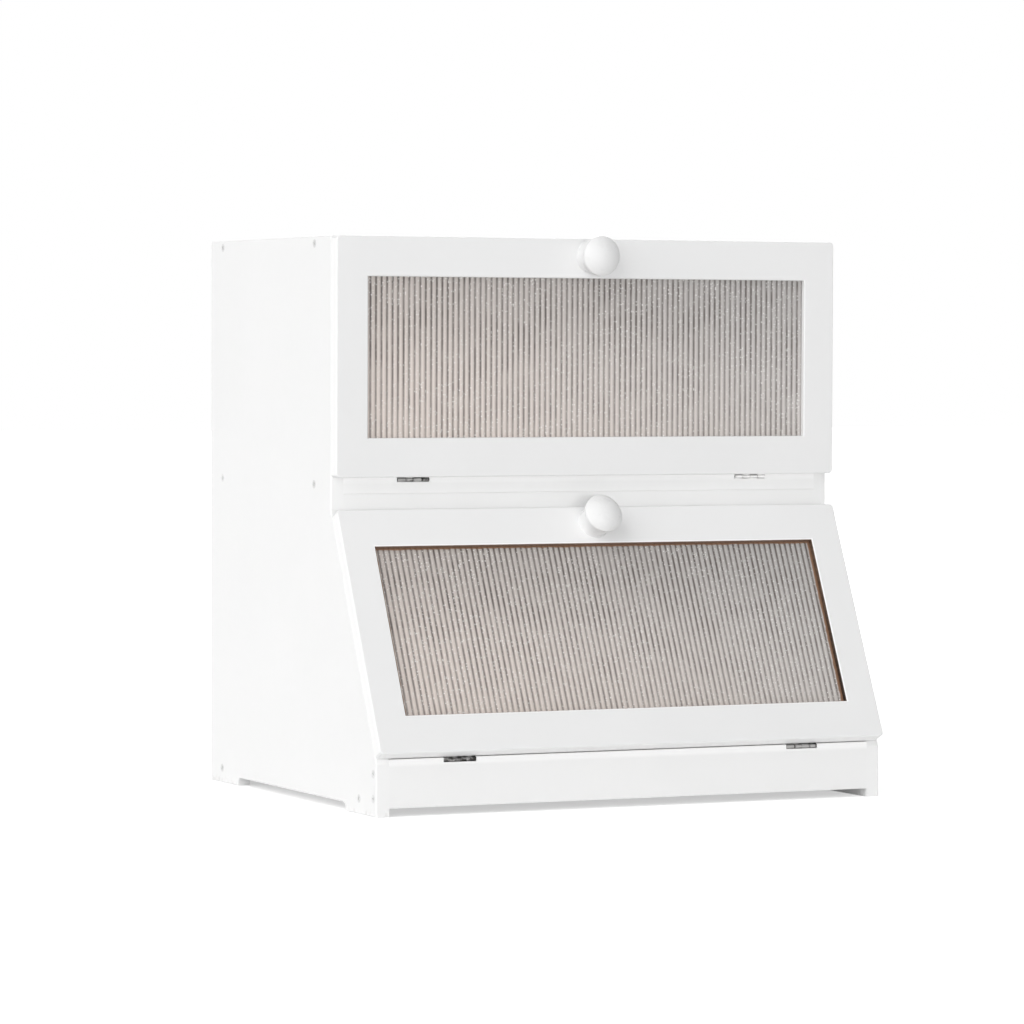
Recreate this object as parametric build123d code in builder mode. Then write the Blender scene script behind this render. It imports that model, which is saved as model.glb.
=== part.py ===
from build123d import *
from math import atan2, cos, sin
import os

# Two-tier bread box: painted boards, two drop-down doors with reeded windows.
# Millimetres, +X to the viewer's right, front towards -Y, +Z up, standing on z = 0.

# Carcass
box_width = 400.0
box_height = 405.0
upper_depth = 230.0
base_depth = 312.0
board = 10.0
shelf_thickness = 12.4
back_thickness = 4.0
slope_top_height = 211.0
slope_to_shelf = 11.2
plinth_height = 31.0
rail_height = 26.0
foot_height = 6.0
foot_length = 54.0
foot_round = 5.0
edge_round = 1.2
seam_round = 0.4
shelf_lap = 0.6
plinth_nose_round = 1.0
plinth_nose_gap = 0.35

# Doors
upper_door_rise = 1.9
lower_door_rise = 1.9
lower_door_top_gap = 4.37
door_thickness = 10.0
door_gap = 0.5
stile_width = 24.5
top_rail_width = 28.5
bottom_rail_width = 28.0
corner_round = 3.0
arris_round = 1.0

# Windows
lip_thickness = 4.0
rebate_width = 6.0
pane_thickness = 3.0
rib_pitch = 4.3
rib_depth = 0.6
bead_round = 1.4
fit_clearance = 0.1

# Knobs
knob_drop = 12.5
knob_projection = 24.0
knob_head_radius = 14.3
knob_base_radius = 12.0
knob_waist_radius = 11.2
knob_rim = 2.0
knob_step = 1.0
knob_crown = 6.5
knob_round = 0.8
knob_screw_radius = 2.0
knob_screw_head_radius = 4.0
knob_screw_head = 2.2
knob_screw_grip = 12.0

# Hinges
hinge_inset = 64.0
hinge_length = 24.5
knuckle_count = 4
knuckle_radius = 1.5
knuckle_gap = 0.3
pin_radius = 0.8
pin_clearance = 0.05
pin_round = 0.3
pivot_height = 1.8
pivot_inset = 0.7
leaf_width = 7.5
leaf_thickness = 1.0
leaf_round = 1.5
leaf_screw_spread = 13.0
leaf_screw_reach = 4.8
mortise_clearance = 0.3

# Fasteners
screw_clearance = 0.05
carcass_screw_radius = 1.6
carcass_screw_head_radius = 3.0
carcass_screw_length = 24.0
rear_screw_inset = 24.0
front_screw_inset = 30.0
plinth_screw_shares = (0.22, 0.78)
back_screw_radius = 1.2
back_screw_head_radius = 2.4
back_screw_length = 14.0
back_screw_spread = 150.0
leaf_screw_radius = 0.8
leaf_screw_head_radius = 1.6
leaf_screw_length = 6.0
dowel_radius = 2.5
dowel_length = 12.0
dowel_in_shelf = 4.0
dowel_spread = 120.0

# Magnetic catch of the upper door
magnet_radius = 3.0
magnet_length = 4.0
strike_radius = 3.5
strike_thickness = 1.2
catch_spread = 240.0

# Vent holes in the back
vent_radius = 4.0
vent_pitch = 26.0
vent_count = 5
vent_drop = 40.0

# Heights and forward distances, the latter counted from the rear edge of the box
plinth_top = foot_height + plinth_height
shelf_bottom = slope_top_height + slope_to_shelf
shelf_top = shelf_bottom + shelf_thickness
upper_pivot_level = shelf_top - shelf_lap - upper_door_rise
lower_pivot_level = plinth_top + pivot_height
plinth_nose_top = lower_pivot_level + lower_door_rise - plinth_nose_gap
lean = atan2(base_depth - upper_depth, slope_top_height - plinth_top)
pivot_offset = door_gap - pivot_inset
upper_pivot_forward = upper_depth + pivot_offset
lower_pivot_forward = base_depth + (pivot_offset - sin(lean) * pivot_height) / cos(lean)
overall_depth = (
    lower_pivot_forward
    + cos(lean) * (pivot_inset + door_thickness)
    - sin(lean) * lower_door_rise
)
slope_run = (
    sin(lean) * (lower_pivot_forward - upper_depth)
    + cos(lean) * (slope_top_height - lower_pivot_level)
)
upper_door_height = box_height - upper_pivot_level - upper_door_rise
lower_door_height = slope_run - lower_door_rise - lower_door_top_gap
inner_width = box_width - 2 * board
window_width = box_width - 2 * stile_width
rebate_depth = door_thickness - lip_thickness
pane_width = window_width + 2 * (rebate_width - fit_clearance)
bead_width = rebate_width - fit_clearance
bead_thickness = rebate_depth - pane_thickness - fit_clearance
knuckle_length = (hinge_length - (knuckle_count - 1) * knuckle_gap) / knuckle_count
knob_rim_top = knob_projection - knob_crown
knob_rim_bottom = knob_rim_top - knob_rim
knob_neck = knob_rim_bottom - knob_step
knob_crown_radius = (knob_head_radius**2 + knob_crown**2) / (2 * knob_crown)

os.makedirs("parts", exist_ok=True)


def y_at(forward):
    """World Y of a point this far in front of the box's rear edge."""
    return overall_depth / 2 - forward


def write(piece, label):
    """Label a finished piece and write its STEP file."""
    piece.label = label
    export_step(piece, f"parts/{label}.step")


def at(plane, x, y, z):
    """The plane shifted to a point given in its own axes."""
    return Plane(
        origin=plane.from_local_coords((x, y, z)), x_dir=plane.x_dir, z_dir=plane.z_dir
    )


def out_of_back(plane, x, y, z):
    """A plane at a point of a door, looking out of the door's back."""
    return Plane(
        origin=plane.from_local_coords((x, y, z)), x_dir=plane.x_dir, z_dir=-plane.z_dir
    )


# Door planes: origin on the hinge pin's axis, x along the pin, y up the door, z out of its face
upper_plane = Plane(
    origin=(0, y_at(upper_pivot_forward), upper_pivot_level), x_dir=(1, 0, 0), z_dir=(0, -1, 0)
)
lower_plane = Plane(
    origin=(0, y_at(lower_pivot_forward), lower_pivot_level),
    x_dir=(1, 0, 0),
    z_dir=(0, -cos(lean), sin(lean)),
)
hinge_offset = box_width / 2 - hinge_inset


def fixed_leaf_plane(door_plane, x):
    """Leaf lying on a board: origin on the pin's axis, y to the rear, z up."""
    return Plane(origin=at(door_plane, x, 0, 0).origin, x_dir=(1, 0, 0), z_dir=(0, 0, 1))


def door_leaf_plane(door_plane, x):
    """Leaf on a door's back: origin on the pin's axis, y up the door, z into the box."""
    return Plane(
        origin=at(door_plane, x, 0, 0).origin, x_dir=(-1, 0, 0), z_dir=-door_plane.z_dir
    )


def leaf_screw_planes(leaf_plane, level):
    """The places of a leaf's two screws, at a level above or below the pin's axis."""
    return [
        at(leaf_plane, side * leaf_screw_spread / 2, leaf_screw_reach, level) for side in (-1, 1)
    ]


def countersunk_screw(head_radius, shank_radius, length):
    """A countersunk screw: head flush with z = 0, shank pointing down."""
    with BuildPart() as screw:
        with BuildSketch(Plane.XZ):
            with BuildLine():
                Polyline(
                    (0, 0),
                    (head_radius, 0),
                    (shank_radius, shank_radius - head_radius),
                    (shank_radius, -length),
                    (0, -length),
                    close=True,
                )
            make_face()
        revolve(axis=Axis.Z)
    return screw.part


# Screw places on a side panel, as forward distance and height
top_level = box_height - board / 2
shelf_level = shelf_top - shelf_thickness / 2
floor_level = foot_height + board / 2
upper_screw_spots = (rear_screw_inset, upper_depth - front_screw_inset)
floor_screw_spots = (rear_screw_inset, base_depth - front_screw_inset)
plinth_screw_levels = [foot_height + share * plinth_height for share in plinth_screw_shares]
top_screws = [(spot, top_level) for spot in upper_screw_spots]
shelf_screws = [(spot, shelf_level) for spot in upper_screw_spots]
floor_screws = [(spot, floor_level) for spot in floor_screw_spots]
plinth_screws = [(base_depth - board / 2, level) for level in plinth_screw_levels]
side_screws = top_screws + shelf_screws + floor_screws + plinth_screws


def side_planes(spots, side, x):
    """Planes at side screw places, looking out of the left (-1) or right (1) side."""
    return [
        Plane(origin=(side * x, y_at(forward), level), x_dir=(0, 1, 0), z_dir=(side, 0, 0))
        for forward, level in spots
    ]


def end_holes(spots):
    """Pilot holes for the side screws in both ends of the board being built."""
    for side in (-1, 1):
        with Locations(*side_planes(spots, side, inner_width / 2)):
            Hole(
                carcass_screw_radius + screw_clearance,
                depth=carcass_screw_length - board + fit_clearance,
            )


def back_planes(level, forward):
    """Planes at the back panel's screw places at one height, looking out of the rear."""
    return [
        Plane(origin=(share * back_screw_spread, y_at(forward), level), z_dir=(0, 1, 0))
        for share in (-1, 0, 1)
    ]


def rear_holes(level):
    """Pilot holes for the back panel's screws in the rear edge of the board being built."""
    with Locations(*back_planes(level, back_thickness)):
        Hole(
            back_screw_radius + screw_clearance,
            depth=back_screw_length - back_thickness + fit_clearance,
        )


def leaf_holes(leaf_plane, seat):
    """Pilot holes for a hinge leaf's screws in the piece being built."""
    with Locations(*leaf_screw_planes(leaf_plane, -seat)):
        Hole(
            leaf_screw_radius + screw_clearance,
            depth=leaf_screw_length - leaf_thickness + fit_clearance,
        )


def hinge_mortises(door_plane, reach):
    """Pockets for the fixed leaves in the front of the board being built, open at its top."""
    for x in (-hinge_offset, hinge_offset):
        leaf_plane = fixed_leaf_plane(door_plane, x)
        with BuildSketch(at(leaf_plane, 0, -board, -pivot_height)) as pocket:
            Rectangle(
                hinge_length + 2 * mortise_clearance,
                board + reach,
                align=(Align.CENTER, Align.MIN),
            )
        extrude(pocket.sketch, amount=board, mode=Mode.SUBTRACT)
        leaf_holes(leaf_plane, pivot_height)


# Side panels: upright at the top, sloping forward below, standing on two feet
for side, label in ((-1, "left_side_panel"), (1, "right_side_panel")):
    with BuildPart() as side_panel:
        with BuildSketch(Plane.YZ.offset(side * box_width / 2)) as side_outline:
            with BuildLine():
                Polyline(
                    (y_at(0), 0),
                    (y_at(0), box_height),
                    (y_at(upper_depth), box_height),
                    (y_at(upper_depth), slope_top_height),
                    (y_at(base_depth), plinth_top),
                    (y_at(base_depth), 0),
                    (y_at(base_depth - foot_length), 0),
                    (y_at(base_depth - foot_length), foot_height),
                    (y_at(foot_length), foot_height),
                    (y_at(foot_length), 0),
                    close=True,
                )
            make_face()
            fillet(side_outline.vertices().group_by(Axis.Y)[1], radius=foot_round)
        extrude(amount=-side * board)
        outer_face = side_panel.faces().filter_by(Axis.X).sort_by(Axis.X)[0 if side < 0 else -1]
        fillet(outer_face.edges(), radius=edge_round)
        with Locations(*side_planes(side_screws, side, box_width / 2)):
            CounterSinkHole(
                carcass_screw_radius + screw_clearance,
                carcass_screw_head_radius + screw_clearance,
                counter_sink_angle=90,
            )
    write(side_panel.part, label)

# Top panel between the sides, with the catch magnets' pockets in its front edge
catch_places = [
    Plane(origin=(side * catch_spread / 2, y_at(upper_depth), top_level), z_dir=(0, -1, 0))
    for side in (-1, 1)
]
with BuildPart() as top_panel:
    with BuildSketch(Plane.XY.offset(box_height - board)):
        with Locations((0, y_at((upper_depth + back_thickness) / 2))):
            Rectangle(inner_width, upper_depth - back_thickness)
    extrude(amount=board)
    end_holes(top_screws)
    rear_holes(top_level)
    with Locations(*catch_places):
        Hole(magnet_radius + fit_clearance, depth=magnet_length)
write(top_panel.part, "top_panel")

# Middle shelf, the floor of the upper compartment, its edge standing behind the upper door's
dowel_spots = [(share * dowel_spread, y_at(upper_depth - board / 2)) for share in (-1, 0, 1)]
with BuildPart() as middle_shelf:
    with BuildSketch(Plane.XY.offset(shelf_bottom)):
        with Locations((0, y_at((upper_depth + back_thickness) / 2))):
            Rectangle(inner_width, upper_depth - back_thickness)
    extrude(amount=shelf_thickness)
    fillet(middle_shelf.edges().filter_by(Axis.X).group_by(Axis.Y)[0], radius=seam_round)
    end_holes(shelf_screws)
    rear_holes(shelf_level)
    hinge_mortises(upper_plane, leaf_width + mortise_clearance)
    with Locations(*[Plane(origin=(*spot, shelf_bottom), z_dir=(0, 0, -1)) for spot in dowel_spots]):
        Hole(dowel_radius + screw_clearance, depth=dowel_in_shelf + fit_clearance)
write(middle_shelf.part, "middle_shelf")

# Rail under the shelf's front edge, behind the lower door's top
with BuildPart() as mid_rail:
    with BuildSketch(Plane.XY.offset(shelf_bottom - rail_height)):
        with Locations((0, y_at(upper_depth - board / 2))):
            Rectangle(inner_width, board)
    extrude(amount=rail_height)
    front_edges = mid_rail.edges().filter_by(Axis.X).group_by(Axis.Y)[0]
    fillet(front_edges.sort_by(Axis.Z)[-1], radius=seam_round)
    with Locations(*[Plane(origin=(*spot, shelf_bottom), z_dir=(0, 0, 1)) for spot in dowel_spots]):
        Hole(dowel_radius + screw_clearance, depth=dowel_length - dowel_in_shelf + fit_clearance)
write(mid_rail.part, "mid_rail")

with BuildPart() as rail_dowels:
    with BuildSketch(Plane.XY.offset(shelf_bottom + dowel_in_shelf)):
        with Locations(*dowel_spots):
            Circle(dowel_radius)
    extrude(amount=-dowel_length)
write(rail_dowels.part, "rail_dowels")

# Floor of the lower compartment, behind the plinth
with BuildPart() as floor_panel:
    with BuildSketch(Plane.XY.offset(foot_height)):
        with Locations((0, y_at((base_depth - board + back_thickness) / 2))):
            Rectangle(inner_width, base_depth - board - back_thickness)
    extrude(amount=board)
    end_holes(floor_screws)
    rear_holes(floor_level)
write(floor_panel.part, "floor_panel")

# Plinth across the front, its nose under the lower door's edge and notched for the hinges
with BuildPart() as plinth_rail:
    with BuildSketch(Plane.XY.offset(foot_height)):
        with Locations((0, y_at(base_depth - board / 2))):
            Rectangle(inner_width, board)
    extrude(amount=plinth_nose_top - foot_height)
    front_edges = plinth_rail.edges().filter_by(Axis.X).group_by(Axis.Y)[0]
    fillet(front_edges.sort_by(Axis.Z)[0], radius=seam_round)
    nose_edges = plinth_rail.edges().filter_by(Axis.X).group_by(Axis.Z)[-1]
    fillet(nose_edges.sort_by(Axis.Y)[0], radius=plinth_nose_round)
    end_holes(plinth_screws)
    hinge_mortises(lower_plane, board)
write(plinth_rail.part, "plinth_rail")

# Thin back between the sides, screwed to the boards' rear edges, with a row of vents a compartment
back_levels = (top_level, shelf_level, floor_level)
vent_levels = (box_height - board - vent_drop, shelf_bottom - vent_drop)
with BuildPart() as back_panel:
    with BuildSketch(Plane.XZ.offset(-y_at(0))):
        with Locations((0, (box_height + foot_height) / 2)):
            Rectangle(inner_width, box_height - foot_height)
        for level in vent_levels:
            with Locations((0, level)):
                with GridLocations(vent_pitch, 0, vent_count, 1):
                    Circle(vent_radius, mode=Mode.SUBTRACT)
    extrude(amount=back_thickness)
    for level in back_levels:
        with Locations(*back_planes(level, 0)):
            CounterSinkHole(
                back_screw_radius + screw_clearance,
                back_screw_head_radius + screw_clearance,
                counter_sink_angle=90,
            )
write(back_panel.part, "back_panel")

# Screws of the carcass and magnets of the catch
carcass_screw = countersunk_screw(
    carcass_screw_head_radius, carcass_screw_radius, carcass_screw_length
)
for side, label in ((-1, "left_carcass_screws"), (1, "right_carcass_screws")):
    with BuildPart() as carcass_screws:
        with Locations(*side_planes(side_screws, side, box_width / 2)):
            add(carcass_screw)
    write(carcass_screws.part, label)

back_screw = countersunk_screw(back_screw_head_radius, back_screw_radius, back_screw_length)
with BuildPart() as back_panel_screws:
    for level in back_levels:
        with Locations(*back_planes(level, 0)):
            add(back_screw)
write(back_panel_screws.part, "back_panel_screws")

with BuildPart() as catch_magnets:
    with Locations(*catch_places):
        Cylinder(magnet_radius, magnet_length, align=(Align.CENTER, Align.CENTER, Align.MAX))
write(catch_magnets.part, "catch_magnets")


def hinge_leaf(plane, seat):
    """One hinge leaf: a plate at its seat below the pin, rolled into every second knuckle."""
    section = Plane(origin=plane.origin, x_dir=plane.y_dir, z_dir=plane.x_dir)
    plate_middle = leaf_thickness / 2 - seat
    plate_start = knuckle_radius + knuckle_gap
    with BuildPart() as leaf:
        for knuckle in range(0, knuckle_count, 2):
            start = knuckle * (knuckle_length + knuckle_gap) - hinge_length / 2
            with BuildSketch(section.offset(start)):
                Circle(knuckle_radius)
                with Locations((leaf_width / 2, plate_middle)):
                    Rectangle(leaf_width, leaf_thickness)
                Circle(pin_radius + pin_clearance, mode=Mode.SUBTRACT)
            extrude(amount=knuckle_length)
        with BuildSketch(section.offset(-hinge_length / 2)):
            with Locations(((plate_start + leaf_width) / 2, plate_middle)):
                Rectangle(leaf_width - plate_start, leaf_thickness)
        extrude(amount=hinge_length)
        upright_edges = leaf.edges().filter_by(Axis(plane.origin, plane.z_dir))
        fillet(upright_edges.sort_by(Axis(plane.origin, plane.y_dir))[-2:], radius=leaf_round)
        with Locations(*leaf_screw_planes(plane, leaf_thickness - seat)):
            CounterSinkHole(
                leaf_screw_radius + screw_clearance,
                leaf_screw_head_radius + screw_clearance,
                counter_sink_angle=90,
            )
    return leaf.part


# Four butt hinges: a leaf on the shelf or plinth, a leaf on the door's back, and a pin
for tier, door_plane in (("upper", upper_plane), ("lower", lower_plane)):
    for hand, x in (("left", -hinge_offset), ("right", hinge_offset)):
        write(
            hinge_leaf(fixed_leaf_plane(door_plane, x), pivot_height), f"{tier}_{hand}_fixed_leaf"
        )
        write(hinge_leaf(door_leaf_plane(door_plane, x), pivot_inset), f"{tier}_{hand}_door_leaf")
        with BuildPart() as hinge_pin:
            with BuildSketch(Plane.YZ.offset(x - hinge_length / 2)):
                with Locations((door_plane.origin.Y, door_plane.origin.Z)):
                    Circle(pin_radius)
            extrude(amount=hinge_length)
            fillet(hinge_pin.edges().filter_by(GeomType.CIRCLE), radius=pin_round)
        write(hinge_pin.part, f"{tier}_{hand}_hinge_pin")

leaf_screw = countersunk_screw(leaf_screw_head_radius, leaf_screw_radius, leaf_screw_length)
with BuildPart() as fixed_leaf_screws:
    for door_plane in (upper_plane, lower_plane):
        for x in (-hinge_offset, hinge_offset):
            leaf_plane = fixed_leaf_plane(door_plane, x)
            with Locations(*leaf_screw_planes(leaf_plane, leaf_thickness - pivot_height)):
                add(leaf_screw)
write(fixed_leaf_screws.part, "fixed_leaf_screws")

# Turned knob, its base on z = 0, with a blind hole for its screw
with BuildPart() as knob_turning:
    with BuildSketch(Plane.XZ):
        with BuildLine():
            Line((0, 0), (knob_base_radius, 0))
            ThreePointArc(
                (knob_base_radius, 0),
                (knob_waist_radius, knob_neck / 2),
                (knob_base_radius, knob_neck),
            )
            Polyline(
                (knob_base_radius, knob_neck),
                (knob_head_radius, knob_rim_bottom),
                (knob_head_radius, knob_rim_top),
            )
            RadiusArc((knob_head_radius, knob_rim_top), (0, knob_projection), -knob_crown_radius)
            Line((0, knob_projection), (0, 0))
        make_face()
    revolve(axis=Axis.Z)
    turned_edges = knob_turning.edges().filter_by(lambda edge: edge.is_closed)
    fillet(turned_edges.sort_by(SortBy.RADIUS)[-2:], radius=knob_round)
    with Locations(Plane(origin=(0, 0, 0), z_dir=(0, 0, -1))):
        Hole(knob_screw_radius + screw_clearance, depth=knob_screw_grip + fit_clearance)

# Pan-head screw through the door into the knob, its head's underside on z = 0
with BuildPart() as knob_screw_turning:
    with BuildSketch(Plane.XY):
        Circle(knob_screw_head_radius)
    extrude(amount=knob_screw_head)
    fillet(knob_screw_turning.edges().sort_by(Axis.Z)[-1], radius=knob_screw_head / 2)
    with BuildSketch(Plane.XY):
        Circle(knob_screw_radius)
    extrude(amount=-(door_thickness - knob_screw_head - fit_clearance + knob_screw_grip))

# Steel discs in the upper door's back that the catch magnets hold
strike_places = [
    out_of_back(upper_plane, side * catch_spread / 2, top_level - upper_pivot_level, pivot_inset)
    for side in (-1, 1)
]
with BuildPart() as strike_discs:
    with Locations(*strike_places):
        Cylinder(strike_radius, strike_thickness, align=(Align.CENTER, Align.CENTER, Align.MAX))
write(strike_discs.part, "upper_strike_discs")

# The two doors
for tier, plane, rise, height in (
    ("upper", upper_plane, upper_door_rise, upper_door_height),
    ("lower", lower_plane, lower_door_rise, lower_door_height),
):
    back = plane.offset(pivot_inset)
    window_height = height - top_rail_width - bottom_rail_width
    window_middle = rise + bottom_rail_width + window_height / 2
    knob_level = rise + height - knob_drop
    face_depth = pivot_inset + door_thickness
    screw_head_depth = pivot_inset + knob_screw_head + fit_clearance
    door_leaf_planes = [door_leaf_plane(plane, x) for x in (-hinge_offset, hinge_offset)]

    # One-piece frame with a rounded face, rebated at the back for the pane
    with BuildPart() as door_frame:
        with BuildSketch(back):
            with Locations((0, rise + height / 2)):
                RectangleRounded(box_width, height, corner_round)
            with Locations((0, window_middle)):
                Rectangle(window_width, window_height, mode=Mode.SUBTRACT)
        extrude(amount=door_thickness)
        face = door_frame.faces().sort_by(Axis(plane.origin, plane.z_dir))[-1]
        fillet(face.edges(), radius=arris_round)
        with BuildSketch(back):
            with Locations((0, window_middle)):
                Rectangle(window_width + 2 * rebate_width, window_height + 2 * rebate_width)
        extrude(amount=rebate_depth, mode=Mode.SUBTRACT)
        with Locations(out_of_back(plane, 0, knob_level, pivot_inset)):
            CounterBoreHole(
                knob_screw_radius + screw_clearance,
                knob_screw_head_radius + fit_clearance,
                knob_screw_head + fit_clearance,
            )
        for leaf_plane in door_leaf_planes:
            leaf_holes(leaf_plane, pivot_inset)
        if tier == "upper":
            with Locations(*strike_places):
                Hole(strike_radius + fit_clearance, depth=strike_thickness)
    write(door_frame.part, f"{tier}_door_frame")

    # Reeded pane, its rib crests towards the front, against the rebate's shoulder
    pane_height = window_height + 2 * (rebate_width - fit_clearance)
    rib_count = int(pane_width / rib_pitch)
    ribs_start = -rib_count * rib_pitch / 2
    pane_top = at(plane, 0, window_middle + pane_height / 2, pivot_inset + rebate_depth - fit_clearance)
    with BuildPart() as window_pane:
        with BuildSketch(Plane(origin=pane_top.origin, x_dir=plane.x_dir, z_dir=-plane.y_dir)):
            with BuildLine():
                for rib in range(rib_count):
                    left = ribs_start + rib * rib_pitch
                    ThreePointArc(
                        (left, -rib_depth),
                        (left + rib_pitch / 2, 0),
                        (left + rib_pitch, -rib_depth),
                    )
                Polyline(
                    (-ribs_start, -rib_depth),
                    (pane_width / 2, -rib_depth),
                    (pane_width / 2, -pane_thickness),
                    (-pane_width / 2, -pane_thickness),
                    (-pane_width / 2, -rib_depth),
                    (ribs_start, -rib_depth),
                )
            make_face()
        extrude(amount=pane_height)
    write(window_pane.part, f"{tier}_window_pane")

    # Glazing beads behind the pane: x towards the window's middle, y to the door's back
    bead_level = pivot_inset + bead_thickness
    bead_x = window_width / 2 + bead_width
    bead_y = window_height / 2 + bead_width
    for edge, x, y, inward, length in (
        ("top", 0, bead_y, -plane.y_dir, pane_width),
        ("bottom", 0, -bead_y, plane.y_dir, pane_width),
        ("left", -bead_x, 0, plane.x_dir, window_height),
        ("right", bead_x, 0, -plane.x_dir, window_height),
    ):
        along = inward.cross(-plane.z_dir)
        bead_plane = Plane(
            origin=at(plane, x, window_middle + y, bead_level).origin, x_dir=inward, z_dir=along
        )
        with BuildPart() as bead:
            with BuildSketch(bead_plane.offset(-length / 2)) as bead_section:
                Rectangle(bead_width, bead_thickness, align=(Align.MIN, Align.MIN))
                fillet(bead_section.vertices().group_by(Axis.X)[-1].sort_by(Axis.Y)[-1], bead_round)
            extrude(amount=length)
        write(bead.part, f"{tier}_bead_{edge}")

    # Knob on the door's face, with its screw from behind
    with BuildPart() as door_knob:
        with Locations(at(plane, 0, knob_level, face_depth)):
            add(knob_turning.part)
    write(door_knob.part, f"{tier}_knob")
    with BuildPart() as knob_screw:
        with Locations(out_of_back(plane, 0, knob_level, screw_head_depth)):
            add(knob_screw_turning.part)
    write(knob_screw.part, f"{tier}_knob_screw")

    # Screws of the door's hinge leaves
    with BuildPart() as door_leaf_screws:
        for leaf_plane in door_leaf_planes:
            with Locations(*leaf_screw_planes(leaf_plane, leaf_thickness - pivot_inset)):
                add(leaf_screw)
    write(door_leaf_screws.part, f"{tier}_leaf_screws")
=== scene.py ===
from math import pi, radians, tau

import bmesh
import bpy
from mathutils import Euler, Matrix, Quaternion, Vector


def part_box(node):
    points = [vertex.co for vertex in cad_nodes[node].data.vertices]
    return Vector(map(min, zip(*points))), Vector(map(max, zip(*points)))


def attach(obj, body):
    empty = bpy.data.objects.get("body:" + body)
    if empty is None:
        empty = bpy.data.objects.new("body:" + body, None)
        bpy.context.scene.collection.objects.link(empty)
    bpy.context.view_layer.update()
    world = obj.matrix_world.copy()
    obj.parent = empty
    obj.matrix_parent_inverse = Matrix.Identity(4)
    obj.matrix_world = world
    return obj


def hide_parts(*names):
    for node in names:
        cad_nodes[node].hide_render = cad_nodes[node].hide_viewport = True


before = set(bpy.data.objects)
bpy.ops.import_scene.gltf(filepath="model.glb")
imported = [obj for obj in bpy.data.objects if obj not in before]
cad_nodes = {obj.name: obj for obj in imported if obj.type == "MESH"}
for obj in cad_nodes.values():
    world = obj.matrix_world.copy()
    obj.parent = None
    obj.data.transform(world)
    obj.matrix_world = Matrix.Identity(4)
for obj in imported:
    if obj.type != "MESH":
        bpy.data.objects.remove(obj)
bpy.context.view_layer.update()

# Carcass boards: two side panels, top, shelf, rail, floor and plinth.
# Fibreboard sheets with eased edges, screwed together through the sides and sprayed with
# a white satin lacquer, faintly scuffed at the feet; a whiter band along the shelf's and
# plinth's tops is painted light where the doors above shade them.
MM = 0.001
# Each board's white is set to its own level, not one paint. Sides and fronts are set to how lit they
# look, and the shelf is lighter to lift the shade under the upper door: painted light and shade.
SIDE_WHITE = (0.882, 0.882, 0.88, 1.0)
SIDE_SHADE = (0.87, 0.871, 0.868, 1.0)
SHELF_PAINTED_LIGHT_WHITE = (0.905, 0.905, 0.903, 1.0)
SHELF_PAINTED_LIGHT_TONE = (0.893, 0.894, 0.891, 1.0)
FRONT_WHITE = (0.875, 0.875, 0.873, 1.0)
FRONT_SHADE = (0.863, 0.864, 0.861, 1.0)
# Painted light: a whiter band just below the shelf's and plinth's tops, under the doors' shade.
UNDER_DOOR_HIGHLIGHT_WHITE = (0.97, 0.97, 0.968, 1.0)
UNDER_DOOR_HIGHLIGHT_HEIGHT = 6 * MM
SCUFF_GREY = (0.62, 0.61, 0.59, 1.0)
SCUFF_TOP = 7 * MM
SCUFF_EDGE = (0.5, 0.7)
SCUFF_STRENGTH = 0.55
CLOUD_SCALE = 9.0
CLOUD_EDGE = (0.35, 0.7)
NOISE_SPAN = (0.3, 0.7)
PEEL_SCALE = 850.0
PEEL_RELIEF = (0.12, 0.15 * MM)
ROLLER_SCALE = 160.0
SATIN = (0.36, 0.48)


def wire(tree, kind, inputs=None, **settings):
    """Add a node to a tree, give it its settings, and link or set its inputs."""
    node = tree.nodes.new(kind)
    for name, value in settings.items():
        setattr(node, name, value)
    for key, value in (inputs or {}).items():
        socket = node.inputs[key]
        if isinstance(value, bpy.types.NodeSocket):
            tree.links.new(value, socket)
        else:
            socket.default_value = value
    return node


def reckon(tree, operation, *values):
    """One sum on sockets or numbers."""
    return wire(tree, "ShaderNodeMath", dict(enumerate(values)), operation=operation).outputs[0]


def ease(tree, value, low, high, low_out=0.0, high_out=1.0):
    """A smooth step of a value from one level to another."""
    inputs = {"Value": value, "From Min": low, "From Max": high, "To Min": low_out, "To Max": high_out}
    return wire(tree, "ShaderNodeMapRange", inputs, interpolation_type="SMOOTHSTEP").outputs["Result"]


def tint(tree, amount, first, second):
    """A colour between two colours."""
    mix = wire(tree, "ShaderNodeMix", {0: amount, 6: first, 7: second}, data_type="RGBA")
    return mix.outputs[2]


def grain(tree, place, scale, detail=2.0, roughness=0.5):
    """Soft noise over a place."""
    inputs = {"Vector": place, "Scale": scale, "Detail": detail, "Roughness": roughness}
    return wire(tree, "ShaderNodeTexNoise", inputs).outputs["Fac"]


def new_finish(name):
    """A material with its tree, its shader and the piece's own place."""
    finish = bpy.data.materials.new(name)
    finish.use_nodes = True
    tree = finish.node_tree
    place = wire(tree, "ShaderNodeTexCoord").outputs["Object"]
    return finish, tree, tree.nodes["Principled BSDF"], place


def set_relief(tree, surface, height, strength, depth):
    """Raise a surface by a height pattern."""
    bump = wire(tree, "ShaderNodeBump", {"Height": height, "Strength": strength, "Distance": depth})
    tree.links.new(bump.outputs["Normal"], surface.inputs["Normal"])


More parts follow.
